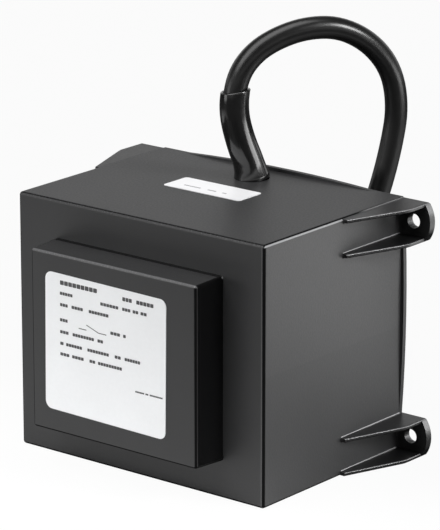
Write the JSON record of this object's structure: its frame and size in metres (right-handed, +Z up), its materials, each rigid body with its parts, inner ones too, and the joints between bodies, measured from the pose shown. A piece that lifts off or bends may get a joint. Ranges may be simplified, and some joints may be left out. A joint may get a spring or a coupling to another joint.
{
  "type": "potted safety transformer",
  "caption": "Black potted transformer: a moulded block with a stepped front, gusseted screw ears at the rear corners, and a sheathed supply lead looping out of the top.",
  "frame": {"origin": "centre of the object's footprint on the surface it stands on, with the lead left out", "axes": "+X to the right seen from the front, +Y to the rear, towards the surface that the ears screw to, +Z up"},
  "size_m": [0.1491, 0.1722, 0.1288],
  "materials": {
    "black_housing_plastic": "moulded thermoplastic with a fine satin grain",
    "potting_resin": "cast resin, smooth skin",
    "core_steel": "stacked electrical sheet, varnished",
    "former_plastic": "glass-filled polyamide, natural",
    "enamelled_copper": "enamelled copper wire",
    "wrap_film": "polyester insulating film",
    "cutout_case": "drawn sheet case",
    "tinned_metal": "tinned copper",
    "core_brown": "PVC insulation",
    "core_blue": "PVC insulation",
    "lead_sheath": "smooth PVC sheath",
    "sleeve_black": "shrink sleeve, glossy",
    "tie_nylon": "nylon cable tie",
    "label_film": "printed film, plain greeked marks only"
  },
  "bodies": {
    "root": {"housing": "black_housing_plastic", "potting_compound": "potting_resin", "core_e_stack": "core_steel", "core_i_stack": "core_steel", "coil_former": "former_plastic", "primary_winding": "enamelled_copper", "secondary_winding": "enamelled_copper", "primary_wrap": "wrap_film", "secondary_wrap": "wrap_film", "thermal_cutout": "cutout_case", "terminal_pins": "tinned_metal", "inner_core_brown": "core_brown", "inner_core_blue": "core_blue", "cable_sleeve": "sleeve_black", "supply_lead": "lead_sheath", "supply_lead_coil": "lead_sheath", "lead_tie": "tie_nylon", "end_core_brown": "core_brown", "end_core_blue": "core_blue", "end_ferrules": "tinned_metal", "front_label": "label_film", "top_label": "label_film"}
  },
  "joints": []
}
